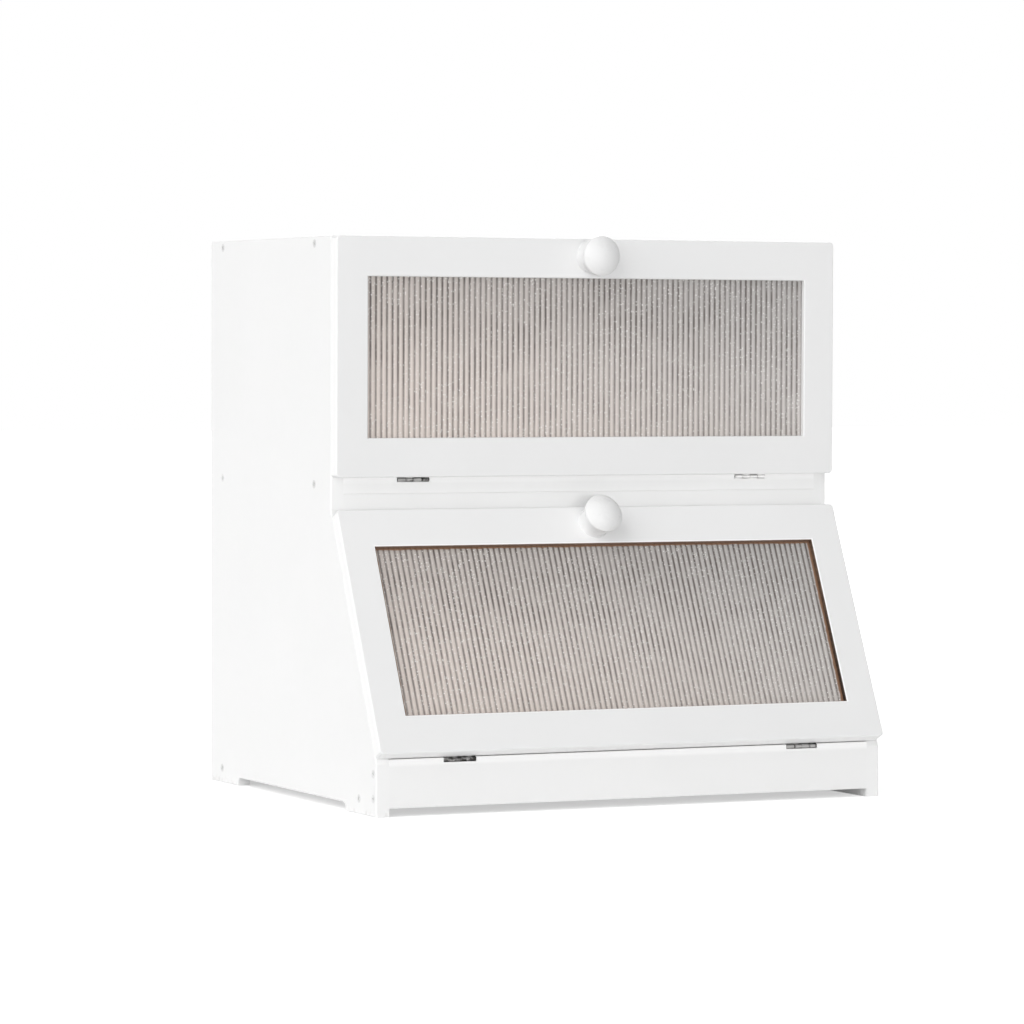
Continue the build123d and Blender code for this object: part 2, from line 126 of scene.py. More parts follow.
def satin_lacquer(name, colour, shade, sheen=SATIN):
    """Sprayed lacquer: soft clouds of tone, a fine orange peel, and scuffs at the feet."""
    finish, tree, surface, place = new_finish(name)
    clouds = grain(tree, place, CLOUD_SCALE, detail=3.0)
    tone = tint(tree, ease(tree, clouds, *CLOUD_EDGE), colour, shade)
    height = wire(tree, "ShaderNodeSeparateXYZ", {"Vector": place}).outputs["Z"]
    near_floor = ease(tree, height, 0.0, SCUFF_TOP, 1.0, 0.0)
    marks = grain(tree, place, ROLLER_SCALE, detail=4.0, roughness=0.7)
    rubbed = ease(tree, marks, *SCUFF_EDGE, 0.0, SCUFF_STRENGTH)
    scuffed = tint(tree, reckon(tree, "MULTIPLY", near_floor, rubbed), tone, SCUFF_GREY)
    tree.links.new(scuffed, surface.inputs["Base Color"])
    gloss = ease(tree, grain(tree, place, ROLLER_SCALE), *NOISE_SPAN, *sheen)
    tree.links.new(gloss, surface.inputs["Roughness"])
    set_relief(tree, surface, grain(tree, place, PEEL_SCALE), *PEEL_RELIEF)
    return finish


def overlay(finish, mask, colour):
    """Lay a colour over a finish where a mask is one."""
    tree = finish.node_tree
    under = tree.nodes["Principled BSDF"].inputs["Base Color"]
    tree.links.new(tint(tree, mask, under.links[0].from_socket, colour), under)


def painted_highlight_band(finish, top):
    """Painted light: a whiter band just below a board's top, where the door above shades it."""
    tree = finish.node_tree
    place = wire(tree, "ShaderNodeTexCoord").outputs["Object"]
    height = wire(tree, "ShaderNodeSeparateXYZ", {"Vector": place}).outputs["Z"]
    overlay(finish, ease(tree, height, top - UNDER_DOOR_HIGHLIGHT_HEIGHT, top - UNDER_DOOR_HIGHLIGHT_HEIGHT / 2), UNDER_DOOR_HIGHLIGHT_WHITE)


def dress(finish, *names):
    """Give CAD nodes a finish."""
    for name in names:
        for slot in cad_nodes[name].material_slots:
            slot.material = finish


board_lacquer = satin_lacquer("board_lacquer", SIDE_WHITE, SIDE_SHADE)
dress(board_lacquer, "left_side_panel", "right_side_panel", "top_panel", "floor_panel")
dress(satin_lacquer("rail_lacquer", FRONT_WHITE, FRONT_SHADE), "mid_rail")
for board, colour, shade in (
    ("middle_shelf", SHELF_PAINTED_LIGHT_WHITE, SHELF_PAINTED_LIGHT_TONE),
    ("plinth_rail", FRONT_WHITE, FRONT_SHADE),
):
    edge_lacquer = satin_lacquer(f"{board}_lacquer", colour, shade)
    # Painted light along the board's top front, under the door's shade.
    painted_highlight_band(edge_lacquer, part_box(board)[1][2])
    dress(edge_lacquer, board)

# Back panel: a thin hardboard sheet with two rows of vent holes.
# It is painted on its smooth face and keeps a faint fibrous tooth under the paint,
# and it is screwed to the rear edges of the boards.
BACK_WHITE = (0.86, 0.858, 0.85, 1.0)
BACK_SHADE = (0.82, 0.816, 0.8, 1.0)
BACK_ROUGHNESS = 0.62
MOTTLE_SCALE = 27.0
FIBRE_SCALE = 420.0
FIBRE_RELIEF = (0.25, 0.2 * MM)


def painted_hardboard(name):
    """Thin paint over hardboard: mottled, with a fibrous tooth."""
    finish, tree, surface, place = new_finish(name)
    mottle = grain(tree, place, MOTTLE_SCALE, detail=5.0, roughness=0.6)
    tone = tint(tree, ease(tree, mottle, *CLOUD_EDGE), BACK_WHITE, BACK_SHADE)
    tree.links.new(tone, surface.inputs["Base Color"])
    surface.inputs["Roughness"].default_value = BACK_ROUGHNESS
    fibres = grain(tree, place, FIBRE_SCALE, detail=4.0, roughness=0.7)
    set_relief(tree, surface, fibres, *FIBRE_RELIEF)
    return finish


dress(painted_hardboard("back_hardboard"), "back_panel")

# Dowels and magnets: small pieces let into drilled holes.
# Turned beech pins hold the rail under the shelf, and nickel-plated discs, pressed into the
# top's front edge, hold the upper door shut by the steel discs in its back.
BEECH_LIGHT = (0.62, 0.43, 0.26, 1.0)
BEECH_DARK = (0.48, 0.3, 0.17, 1.0)
BEECH_ROUGHNESS = 0.6
STREAK_SCALE = (900.0, 900.0, 60.0)
NICKEL = (0.72, 0.7, 0.67, 1.0)
NICKEL_SHEEN = (0.22, 0.4)
TARNISH = 0.82
SCRATCH_SCALE = 700.0
SCRATCH_RELIEF = (0.1, 0.05 * MM)


def beech(name):
    """Turned beech with fine streaks along the pin."""
    finish, tree, surface, place = new_finish(name)
    along = wire(tree, "ShaderNodeMapping", {"Vector": place, "Scale": STREAK_SCALE}).outputs[0]
    tone = tint(tree, grain(tree, along, 1.0, detail=3.0), BEECH_LIGHT, BEECH_DARK)
    tree.links.new(tone, surface.inputs["Base Color"])
    surface.inputs["Roughness"].default_value = BEECH_ROUGHNESS
    return finish


def plated_metal(name, colour, sheen):
    """Plated steel with fine scratches in its gloss and a slight mottle in its tone."""
    finish, tree, surface, place = new_finish(name)
    darker = tuple(TARNISH * part for part in colour[:3]) + (1.0,)
    mottle = ease(tree, grain(tree, place, SCRATCH_SCALE / 3, detail=3.0), *CLOUD_EDGE)
    tree.links.new(tint(tree, mottle, colour, darker), surface.inputs["Base Color"])
    surface.inputs["Metallic"].default_value = 1.0
    scratches = grain(tree, place, SCRATCH_SCALE, detail=5.0, roughness=0.7)
    tree.links.new(ease(tree, scratches, *NOISE_SPAN, *sheen), surface.inputs["Roughness"])
    set_relief(tree, surface, scratches, *SCRATCH_RELIEF)
    return finish


dress(beech("dowel_beech"), "rail_dowels")
dress(plated_metal("catch_nickel", NICKEL, NICKEL_SHEEN), "catch_magnets", "upper_strike_discs")

# Countersunk screws of the carcass and the back: steel with a cross recess.
# Those in the sides were sprayed over with the lacquer, those in the back are bare zinc;
# each stopped at its own turn, so no two recesses line up.
SCREW_SEED = 7
HEAD_SIDES = 28
SPRAYED_WHITE = (0.8, 0.8, 0.798, 1.0)
SPRAYED_SHADE = (0.7, 0.7, 0.697, 1.0)
ZINC = (0.66, 0.67, 0.68, 1.0)
ZINC_SHEEN = (0.25, 0.45)
CARCASS_SCREW = (3.0 * MM, 1.6 * MM, 24 * MM)
BACK_SCREW = (2.4 * MM, 1.2 * MM, 14 * MM)
RECESS_LENGTH = 1.25
RECESS_WIDTH = 0.26
RECESS_DEPTH = 0.5
WELD = 0.001 * MM
FLATNESS = 0.01 * MM
SHARP_ANGLE = radians(30)
OUT_LEFT = Vector((-1, 0, 0))
OUT_RIGHT = Vector((1, 0, 0))
OUT_BACK = Vector((0, 1, 0))


def new_tree(name, sizes):
    """An empty node tree with named inputs, and the identifiers of those inputs."""
    tree = bpy.data.node_groups.new(name, "GeometryNodeTree")
    sides = tree.interface
    sides.new_socket("Geometry", in_out="INPUT", socket_type="NodeSocketGeometry")
    keys = {}
    for label, kind in sizes:
        keys[label] = sides.new_socket(label, in_out="INPUT", socket_type=f"NodeSocket{kind}").identifier
    sides.new_socket("Geometry", in_out="OUTPUT", socket_type="NodeSocketGeometry")
    return tree, keys


def end_tree(tree, shape, finish):
    """Close a tree: realize its instances, set the finish and give the shape out."""
    real = wire(tree, "GeometryNodeRealizeInstances", {"Geometry": shape}).outputs[0]
    dressed = wire(tree, "GeometryNodeSetMaterial", {"Geometry": real, "Material": finish}).outputs[0]
    wire(tree, "NodeGroupOutput", {"Geometry": dressed})


def moved(tree, shape, place, turn=(0.0, 0.0, 0.0)):
    """A shape at another place and turn inside a tree."""
    inputs = {"Geometry": shape, "Translation": place, "Rotation": turn}
    return wire(tree, "GeometryNodeTransform", inputs).outputs[0]


def joined(tree, *shapes):
    """Several shapes as one inside a tree."""
    join = wire(tree, "GeometryNodeJoinGeometry")
    for shape in shapes:
        tree.links.new(shape, join.inputs[0])
    return join.outputs[0]


def vector(tree, x=0.0, y=0.0, z=0.0):
    """A vector from three numbers or sockets."""
    return wire(tree, "ShaderNodeCombineXYZ", {"X": x, "Y": y, "Z": z}).outputs[0]


def screw_tree():
    """Screws at the given points, each facing along its point's own direction."""
    tree, keys = new_tree(
        "countersunk_screws",
        (
            ("Head Radius", "Float"),
            ("Shank Radius", "Float"),
            ("Length", "Float"),
            ("Seed", "Int"),
            ("Finish", "Material"),
        ),
    )
    given = wire(tree, "NodeGroupInput").outputs
    head, shank = given["Head Radius"], given["Shank Radius"]
    sink = reckon(tree, "SUBTRACT", head, shank)
    cone = wire(
        tree,
        "GeometryNodeMeshCone",
        {"Vertices": HEAD_SIDES, "Radius Top": head, "Radius Bottom": shank, "Depth": sink},
    ).outputs["Mesh"]
    below = reckon(tree, "MULTIPLY", sink, -1.0)
    cone = moved(tree, cone, vector(tree, z=below))
    recess_length = reckon(tree, "MULTIPLY", head, RECESS_LENGTH)
    recess_width = reckon(tree, "MULTIPLY", head, RECESS_WIDTH)
    recess_depth = reckon(tree, "MULTIPLY", head, RECESS_DEPTH)
    slot = wire(
        tree, "GeometryNodeMeshCube", {"Size": vector(tree, recess_length, recess_width, recess_depth)}
    ).outputs["Mesh"]
    crossed = moved(tree, slot, (0.0, 0.0, 0.0), (0.0, 0.0, pi / 2))
    cut = wire(tree, "GeometryNodeMeshBoolean", {"Mesh 1": cone}, operation="DIFFERENCE", solver="EXACT")
    tree.links.new(slot, cut.inputs["Mesh 2"])
    tree.links.new(crossed, cut.inputs["Mesh 2"])
    shank_length = reckon(tree, "SUBTRACT", given["Length"], sink)
    rod = wire(
        tree,
        "GeometryNodeMeshCylinder",
        {"Vertices": HEAD_SIDES // 2, "Radius": shank, "Depth": shank_length},
    ).outputs["Mesh"]
    rod_middle = reckon(tree, "ADD", sink, reckon(tree, "MULTIPLY", shank_length, 0.5))
    rod = moved(tree, rod, vector(tree, z=reckon(tree, "MULTIPLY", rod_middle, -1.0)))
    facing = wire(tree, "GeometryNodeInputNamedAttribute", {"Name": "facing"}, data_type="FLOAT_VECTOR")
    aim = wire(
        tree, "FunctionNodeAlignRotationToVector", {"Vector": facing.outputs["Attribute"]}, axis="Z"
    ).outputs["Rotation"]
    # The node has a Max for each kind of value, and that of a plain number is its fourth input
    chance = wire(
        tree, "FunctionNodeRandomValue", {"Seed": given["Seed"], 3: tau}, data_type="FLOAT"
    )
    drive = wire(
        tree,
        "FunctionNodeAxisAngleToRotation",
        {"Axis": (0.0, 0.0, 1.0), "Angle": chance.outputs[1]},
    ).outputs["Rotation"]
    turned = wire(
        tree, "FunctionNodeRotateRotation", {"Rotation": aim, "Rotate By": drive}, rotation_space="LOCAL"
    ).outputs["Rotation"]
    placed = wire(
        tree,
        "GeometryNodeInstanceOnPoints",
        {
            "Points": given["Geometry"],
            "Instance": joined(tree, cut.outputs["Mesh"], rod),
            "Rotation": turned,
        },
    ).outputs["Instances"]
    end_tree(tree, placed, given["Finish"])
    return tree, keys


def loose_solids(node):
    """The corner points of each separate solid in a CAD node."""
    shape = bmesh.new()
    shape.from_mesh(cad_nodes[node].data)
    bmesh.ops.remove_doubles(shape, verts=shape.verts, dist=WELD)
    unseen = set(shape.verts)
    solids = []
    while unseen:
        reached = [unseen.pop()]
        points = []
        while reached:
            corner = reached.pop()
            points.append(corner.co.copy())
            beside = {edge.other_vert(corner) for edge in corner.link_edges} & unseen
            unseen -= beside
            reached.extend(beside)
        solids.append(points)
    shape.free()
    return solids


def head_places(node, facing):
    """The middle of each screw's outermost face, along the way that the screws face."""
    places = []
    for points in loose_solids(node):
        outermost = max(point.dot(facing) for point in points)
        ring = [point for point in points if point.dot(facing) > outermost - FLATNESS]
        places.append(sum(ring, Vector()) / len(ring))
    return sorted(places, key=lambda place: [round(part, 4) for part in place])


def plain_mesh(piece):
    """Turn a piece's node tree into a plain mesh, smooth but for its sharp edges."""
    graph = bpy.context.evaluated_depsgraph_get()
    made = bpy.data.meshes.new_from_object(piece.evaluated_get(graph), depsgraph=graph)
    piece.modifiers.clear()
    piece.data = made
    made.polygons.foreach_set("use_smooth", [True] * len(made.polygons))
    made.set_sharp_from_angle(angle=SHARP_ANGLE)


def grown_piece(name, mesh, tree, keys, values):
    """A piece grown from a mesh by a node tree with the given named values."""
    piece = bpy.data.objects.new(name, mesh)
    bpy.context.scene.collection.objects.link(piece)
    modifier = piece.modifiers.new("grown", "NODES")
    modifier.node_group = tree
    for label, value in values.items():
        modifier[keys[label]] = value
    plain_mesh(piece)
    return piece


def screws(name, heads, sizes, finish):
    """Screws at head places that are given with the way that each faces."""
    points = bpy.data.meshes.new(name)
    points.from_pydata([place for place, facing in heads], [], [])
    ways = points.attributes.new("facing", "FLOAT_VECTOR", "POINT")
    ways.data.foreach_set("vector", [part for place, facing in heads for part in facing])
    head_radius, shank_radius, length = sizes
    values = {
        "Head Radius": head_radius,
        "Shank Radius": shank_radius,
        "Length": length,
        "Seed": SCREW_SEED,
        "Finish": finish,
    }
    return grown_piece(name, points, *countersunk, values)


countersunk = screw_tree()
zinc = plated_metal("screw_zinc", ZINC, ZINC_SHEEN)
sprayed = satin_lacquer("sprayed_screw", SPRAYED_WHITE, SPRAYED_SHADE)
for name, node, facing, sizes, finish in (
    ("left_side_screws", "left_carcass_screws", OUT_LEFT, CARCASS_SCREW, sprayed),
    ("right_side_screws", "right_carcass_screws", OUT_RIGHT, CARCASS_SCREW, sprayed),
    ("back_screws", "back_panel_screws", OUT_BACK, BACK_SCREW, zinc),
):
    heads = [(place, facing) for place in head_places(node, facing)]
    piece = screws(name, heads, sizes, finish)
    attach(piece, "cabinet")
    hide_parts(node)

# Hinges: four small butt hinges, two to a door.
# Stamped steel leaves rolled into four knuckles round a pin, let into the board and held by
# two little screws each; blackened with rubbed bare patches, and some leaves and the upper
# right hinge set bare or bright as painted reflection.
HINGE_BLACK = (0.05, 0.048, 0.046, 1.0)
HINGE_BARE = (0.4, 0.395, 0.39, 1.0)
HINGE_PAINTED_BRIGHT = (0.86, 0.855, 0.85, 1.0)
HINGE_SHEEN = (0.32, 0.5)
RUB_SCALE = 170.0
RUB_EDGE = (0.42, 0.62)
PIN_GREY = (0.22, 0.21, 0.2, 1.0)
PIN_SHEEN = (0.25, 0.4)
LEAF_SCREW = (1.6 * MM, 0.8 * MM, 6 * MM)
ACROSS = Vector((1, 0, 0))
UP = Vector((0, 0, 1))
TIERS = ("upper", "lower")


def door_axes(tier):
    """Across, up the door and out of its face, read from the flat back of its pane."""
    pane = cad_nodes[f"{tier}_window_pane"].data
    flat_back = max(pane.polygons, key=lambda polygon: polygon.area)
    out = -flat_back.normal
    return Matrix((ACROSS, out.cross(ACROSS), out)).transposed()


def rubbed_patches(finish, bare):
    """Bare metal where the blackening of a finish has rubbed off."""
    tree = finish.node_tree
    place = wire(tree, "ShaderNodeTexCoord").outputs["Object"]
    overlay(finish, ease(tree, grain(tree, place, RUB_SCALE), *RUB_EDGE), bare)


blackened = plated_metal("hinge_blackened_steel", HINGE_BLACK, HINGE_SHEEN)
rubbed_patches(blackened, HINGE_BARE)
bare_reflection_steel = plated_metal("hinge_bare_reflection_steel", HINGE_BARE, HINGE_SHEEN)
painted_bright_steel = plated_metal("hinge_painted_bright_steel", HINGE_PAINTED_BRIGHT, HINGE_SHEEN)
pin_steel = plated_metal("hinge_pin_steel", PIN_GREY, PIN_SHEEN)
# Which leaf gets which finish follows how bright each hinge looks: the bare leaves and the bright upper
# right hinge are painted reflection; the bare patches on the blackened steel are wear.
for hinge, fixed_finish, door_finish in (
    ("upper_left", bare_reflection_steel, blackened),
    ("upper_right", painted_bright_steel, painted_bright_steel),
    ("lower_left", blackened, blackened),
    ("lower_right", bare_reflection_steel, blackened),
):
    dress(fixed_finish, f"{hinge}_fixed_leaf")
    dress(door_finish, f"{hinge}_door_leaf")
    dress(pin_steel, f"{hinge}_hinge_pin")

shelf_heads = [(place, UP) for place in head_places("fixed_leaf_screws", UP)]
shelf_screws = screws("hinge_screws_cabinet", shelf_heads, LEAF_SCREW, blackened)
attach(shelf_screws, "cabinet")
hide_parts("fixed_leaf_screws")
for tier in TIERS:
    inward = -door_axes(tier).col[2]
    heads = [(place, inward) for place in head_places(f"{tier}_leaf_screws", inward)]
    piece = screws(f"hinge_screws_{tier}_door", heads, LEAF_SCREW, blackened)
    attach(piece, f"{tier}_door")
    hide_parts(f"{tier}_leaf_screws")

# Door frames: one-piece fibreboard frames with a rounded face, rebated at the back.
# The same satin lacquer, set greyer as painted shade, with the lower door a little lighter as
# painted light from above and whiter outer edges as painted light; the lower window was cut
# after spraying, so the walls of its opening are bare board, with painted shade darkening the
# side walls towards the bottom and a painted highlight on its arris.
# Painted shade and light: the doors' white is set greyer than the boards', and the lower door's lighter
# than the upper's, for how lit each looks.
DOOR_SHADED_WHITE = (0.82, 0.821, 0.821, 1.0)
DOOR_SHADED_TONE = (0.807, 0.809, 0.809, 1.0)
LOWER_DOOR_LIT_WHITE = (0.84, 0.841, 0.841, 1.0)
LOWER_DOOR_LIT_TONE = (0.827, 0.829, 0.829, 1.0)
# Painted highlight on the lower window's arris; painted shade on its bare side walls, darker lower down.
ARRIS_HIGHLIGHT_WHITE = (0.96, 0.96, 0.96, 1.0)
# Painted light on the doors' outer edges, whiter than their faces.
DOOR_EDGE_PAINTED_LIGHT = (0.93, 0.93, 0.928, 1.0)
BARE_LIGHT = (0.2, 0.125, 0.085, 1.0)
BARE_SHADED = (0.022, 0.013, 0.01, 1.0)
WALL_SHADE_FADE = 60 * MM
TOP_WALL_SHADE = 0.45
FIBRE_SPREAD = 0.3
CORNER_BLEND = 0.2 * MM
LIT_EDGE_BAND = (-0.4 * MM, -0.1 * MM)
ARRIS_HIGHLIGHT_BAND = (0.9 * MM, 1.2 * MM)
WALL_EDGE = (0.1 * MM, 0.3 * MM)
STILE_WIDTH = 24.5 * MM
TOP_RAIL_WIDTH = 28.5 * MM
BOTTOM_RAIL_WIDTH = 28.0 * MM


def local_box(node, axes):
    """Lowest and highest corner of a CAD node in a door's own axes."""
    turned = [axes.transposed() @ corner.co for corner in cad_nodes[node].data.vertices]
    low = Vector([min(point[i] for point in turned) for i in range(3)])
    high = Vector([max(point[i] for point in turned) for i in range(3)])
    return low, high


def window_opening(tier):
    """Middle of a door's window on its face, in world axes, and half its width and height."""
    axes = door_axes(tier)
    low, high = local_box(f"{tier}_door_frame", axes)
    left, right = low.x + STILE_WIDTH, high.x - STILE_WIDTH
    bottom, top = low.y + BOTTOM_RAIL_WIDTH, high.y - TOP_RAIL_WIDTH
    middle = axes @ Vector(((left + right) / 2, (bottom + top) / 2, high.z))
    return middle, (right - left) / 2, (top - bottom) / 2


def in_door(tree, place, tier):
    """A place measured from the middle of a door's window, in the door's own axes."""
    middle = window_opening(tier)[0]
    inputs = {"Vector": place, "Location": middle, "Rotation": door_axes(tier).to_euler()}
    own = wire(tree, "ShaderNodeMapping", inputs, vector_type="TEXTURE").outputs[0]
    return wire(tree, "ShaderNodeSeparateXYZ", {"Vector": own}).outputs


def past_window(tree, place, tier):
    """How far a place lies beyond the sides and beyond the ends of a door's window."""
    own = in_door(tree, place, tier)
    half_width, half_height = window_opening(tier)[1:]
    past_side = reckon(tree, "SUBTRACT", reckon(tree, "ABSOLUTE", own["X"]), half_width)
    past_end = reckon(tree, "SUBTRACT", reckon(tree, "ABSOLUTE", own["Y"]), half_height)
    return past_side, past_end


def painted_light_edges(finish, tier):
    """Painted light: a whiter band on the four outer edges of a door."""
    tree = finish.node_tree
    own = in_door(tree, wire(tree, "ShaderNodeTexCoord").outputs["Object"], tier)
    half_width, half_height = window_opening(tier)[1:]
    past_side = reckon(tree, "SUBTRACT", reckon(tree, "ABSOLUTE", own["X"]), half_width + STILE_WIDTH)
    past_top = reckon(tree, "SUBTRACT", own["Y"], half_height + TOP_RAIL_WIDTH)
    past_bottom = reckon(tree, "SUBTRACT", -half_height - BOTTOM_RAIL_WIDTH, own["Y"])
    past = reckon(tree, "MAXIMUM", past_side, reckon(tree, "MAXIMUM", past_top, past_bottom))
    overlay(finish, ease(tree, past, *LIT_EDGE_BAND), DOOR_EDGE_PAINTED_LIGHT)


def bare_window_walls(finish, tier):
    """Brown bare board on the walls of a door's window, with painted shade darkening its side walls
    towards the bottom and a painted highlight on its arris.
    """
    tree = finish.node_tree
    place = wire(tree, "ShaderNodeTexCoord").outputs["Object"]
    past_side, past_end = past_window(tree, place, tier)
    past = reckon(tree, "MAXIMUM", past_side, past_end)
    # Painted highlight: a whiter band on the window's arris.
    overlay(finish, ease(tree, past, *ARRIS_HIGHLIGHT_BAND, 1.0, 0.0), ARRIS_HIGHLIGHT_WHITE)
    strands = grain(tree, place, FIBRE_SCALE, detail=4.0, roughness=0.7)
    fibres = ease(tree, strands, *NOISE_SPAN, -FIBRE_SPREAD, FIBRE_SPREAD)
    # Painted shade: the side walls darker than the ends, more so towards the bottom.
    low_down = ease(tree, in_door(tree, place, tier)["Y"], -WALL_SHADE_FADE, WALL_SHADE_FADE, 1.0, TOP_WALL_SHADE)
    side_lead = reckon(tree, "SUBTRACT", past_side, past_end)
    on_side = ease(tree, side_lead, -CORNER_BLEND, CORNER_BLEND)
    wall_shade = reckon(tree, "ADD", reckon(tree, "MULTIPLY", on_side, low_down), fibres)
    brown = tint(tree, wall_shade, BARE_LIGHT, BARE_SHADED)
    overlay(finish, ease(tree, past, *WALL_EDGE, 1.0, 0.0), brown)


for tier, colour, shade in (("upper", DOOR_SHADED_WHITE, DOOR_SHADED_TONE), ("lower", LOWER_DOOR_LIT_WHITE, LOWER_DOOR_LIT_TONE)):
    door_lacquer = satin_lacquer(f"{tier}_door_lacquer", colour, shade)
    painted_light_edges(door_lacquer, tier)
    if tier == "lower":
        bare_window_walls(door_lacquer, tier)
    dress(door_lacquer, f"{tier}_door_frame")

# Window panes: reeded translucent acrylic, ribbed on the face and flat behind.
# Extruded with shallow ribs and a hammered surface, cut to the rebate and held
# by beads. Their colour is painted light through the pane: lighter and warmer at the lower
# left, darker at the top, with painted shade in the grooves and painted glints; a brown band
# along the lower pane's edge is painted shade and reflection of the bare walls.
RIB_PITCH = 4.3 * MM
RIB_DEPTH = 0.6 * MM
RIB_STEPS = 10
# Painted light through the pane: ribs lighter and warmer towards the lower left, darker at the top,
# grooves painted with shade that eases lower down, and painted glints.
RIB_LIGHT = (0.58, 0.555, 0.542, 1.0)
RIB_WARM = (0.73, 0.652, 0.606, 1.0)
GROOVE_PAINTED_SHADE = (0.125, 0.102, 0.09, 1.0)
GROOVE_EDGE = (0.35 * MM, 1.15 * MM)
WANDER_SCALE = 60.0
WANDER_LEAST = 0.65
PAINTED_GLINT_WHITE = (0.95, 0.94, 0.92, 1.0)
SPARKLE_SCALE = 800.0
SPARKLE_CHOICE = (0.66, 0.88)
SPARKLE_SPOT = (0.2, 0.5)
PATCH_SCALE = 14.0
PATCH_EDGE = (0.3, 0.65)
PATCH_STRENGTH = (0.45, 0.95)
TOP_DIM = 0.88
BOTTOM_LIFT = 1.075
FADE_EDGE = (-0.3, 1.0)
GROOVE_SHADE_BOTTOM = 0.78
GROOVE_SHADE_SPAN = (-1.0, 0.6)
WARM_LEFT = 1.35
WARM_DOWN = 0.65
WARM_REACH = 2.0
HAMMER_SCALE = 1100.0
HAMMER_RELIEF = (0.35, 0.2 * MM)
PANE_SHEEN = (0.3, 0.5)
ACRYLIC_IOR = 1.49
ACRYLIC_CLEAR = 0.18
# Painted shade and reflection of the bare brown walls along the lower pane's edge.
WALL_REFLECTION_BROWN = (0.3, 0.17, 0.105, 1.0)
SIDE_REFLECTION_WIDTH = 2.4 * MM
END_REFLECTION_WIDTH = 1.5 * MM
REFLECTION_WAVER = 0.3 * MM
REFLECTION_FADE = 0.6 * MM


def reeded_acrylic(tier):
    """Painted light through the pane: ribs lighter and warmer towards the lower left and darker at the
    top, painted shade in the grooves, and painted glints.
    """
    finish, tree, surface, place = new_finish(f"{tier}_reeded_acrylic")
    own = in_door(tree, place, tier)
    half_width, half_height = window_opening(tier)[1:]
    from_groove = reckon(tree, "PINGPONG", own["X"], RIB_PITCH / 2)
    # Painted shade in the grooves.
    groove = ease(tree, from_groove, *GROOVE_EDGE, 1.0, 0.0)
    # Painted light: lighter and warmer towards the lower left.
    leftward = reckon(tree, "MULTIPLY", own["X"], -WARM_LEFT / half_width)
    downward = reckon(tree, "MULTIPLY", own["Y"], -WARM_DOWN / half_height)
    slant = reckon(tree, "ADD", leftward, downward)
    warm = ease(tree, slant, -WARM_REACH, WARM_REACH)
    rib = tint(tree, warm, RIB_LIGHT, RIB_WARM)
    wander = ease(tree, grain(tree, place, WANDER_SCALE, detail=3.0), *NOISE_SPAN, WANDER_LEAST, 1.0)
    height = reckon(tree, "DIVIDE", own["Y"], half_height)
    # Painted shade in the grooves eases towards the bottom.
    groove_shade_height = ease(tree, height, *GROOVE_SHADE_SPAN, GROOVE_SHADE_BOTTOM, 1.0)
    shadow = reckon(tree, "MULTIPLY", reckon(tree, "MULTIPLY", groove, wander), groove_shade_height)
    tone = tint(tree, shadow, rib, GROOVE_PAINTED_SHADE)
    # Painted glints: small white spots scattered in patches.
    cells = wire(tree, "ShaderNodeTexVoronoi", {"Vector": place, "Scale": SPARKLE_SCALE})
    chosen = wire(tree, "ShaderNodeSeparateColor", {"Color": cells.outputs["Color"]}).outputs["Red"]
    bright = ease(tree, chosen, *SPARKLE_CHOICE)
    spot = ease(tree, cells.outputs["Distance"], *SPARKLE_SPOT, 1.0, 0.0)
    patch = ease(tree, grain(tree, place, PATCH_SCALE), *PATCH_EDGE, *PATCH_STRENGTH)
    painted_glint = reckon(tree, "MULTIPLY", reckon(tree, "MULTIPLY", bright, spot), patch)
    # Painted light: darker at the top, lighter at the bottom.
    fade = ease(tree, height, *FADE_EDGE, BOTTOM_LIFT, TOP_DIM)
    faded = wire(tree, "ShaderNodeVectorMath", {0: tone, "Scale": fade}, operation="SCALE").outputs[0]
    lit = tint(tree, painted_glint, faded, PAINTED_GLINT_WHITE)
    tree.links.new(lit, surface.inputs["Base Color"])
    hammer = grain(tree, place, HAMMER_SCALE, detail=3.0, roughness=0.6)
    tree.links.new(ease(tree, hammer, *NOISE_SPAN, *PANE_SHEEN), surface.inputs["Roughness"])
    surface.inputs["IOR"].default_value = ACRYLIC_IOR
    surface.inputs["Transmission Weight"].default_value = ACRYLIC_CLEAR
    set_relief(tree, surface, hammer, *HAMMER_RELIEF)
    return finish


def painted_wall_reflection(finish, tier):
    """Painted shade and reflection of the bare walls: a brown band where a pane meets the walls of its
    window.
    """
    tree = finish.node_tree
    place = wire(tree, "ShaderNodeTexCoord").outputs["Object"]
    past_side, past_end = past_window(tree, place, tier)
    at_side = reckon(tree, "ADD", past_side, SIDE_REFLECTION_WIDTH)
    at_end = reckon(tree, "ADD", past_end, END_REFLECTION_WIDTH)
    waver = grain(tree, place, ROLLER_SCALE, detail=3.0)
    uneven = ease(tree, waver, *NOISE_SPAN, -REFLECTION_WAVER, REFLECTION_WAVER)
    near_wall = reckon(tree, "ADD", reckon(tree, "MAXIMUM", at_side, at_end), uneven)
    overlay(finish, ease(tree, near_wall, 0.0, REFLECTION_FADE), WALL_REFLECTION_BROWN)


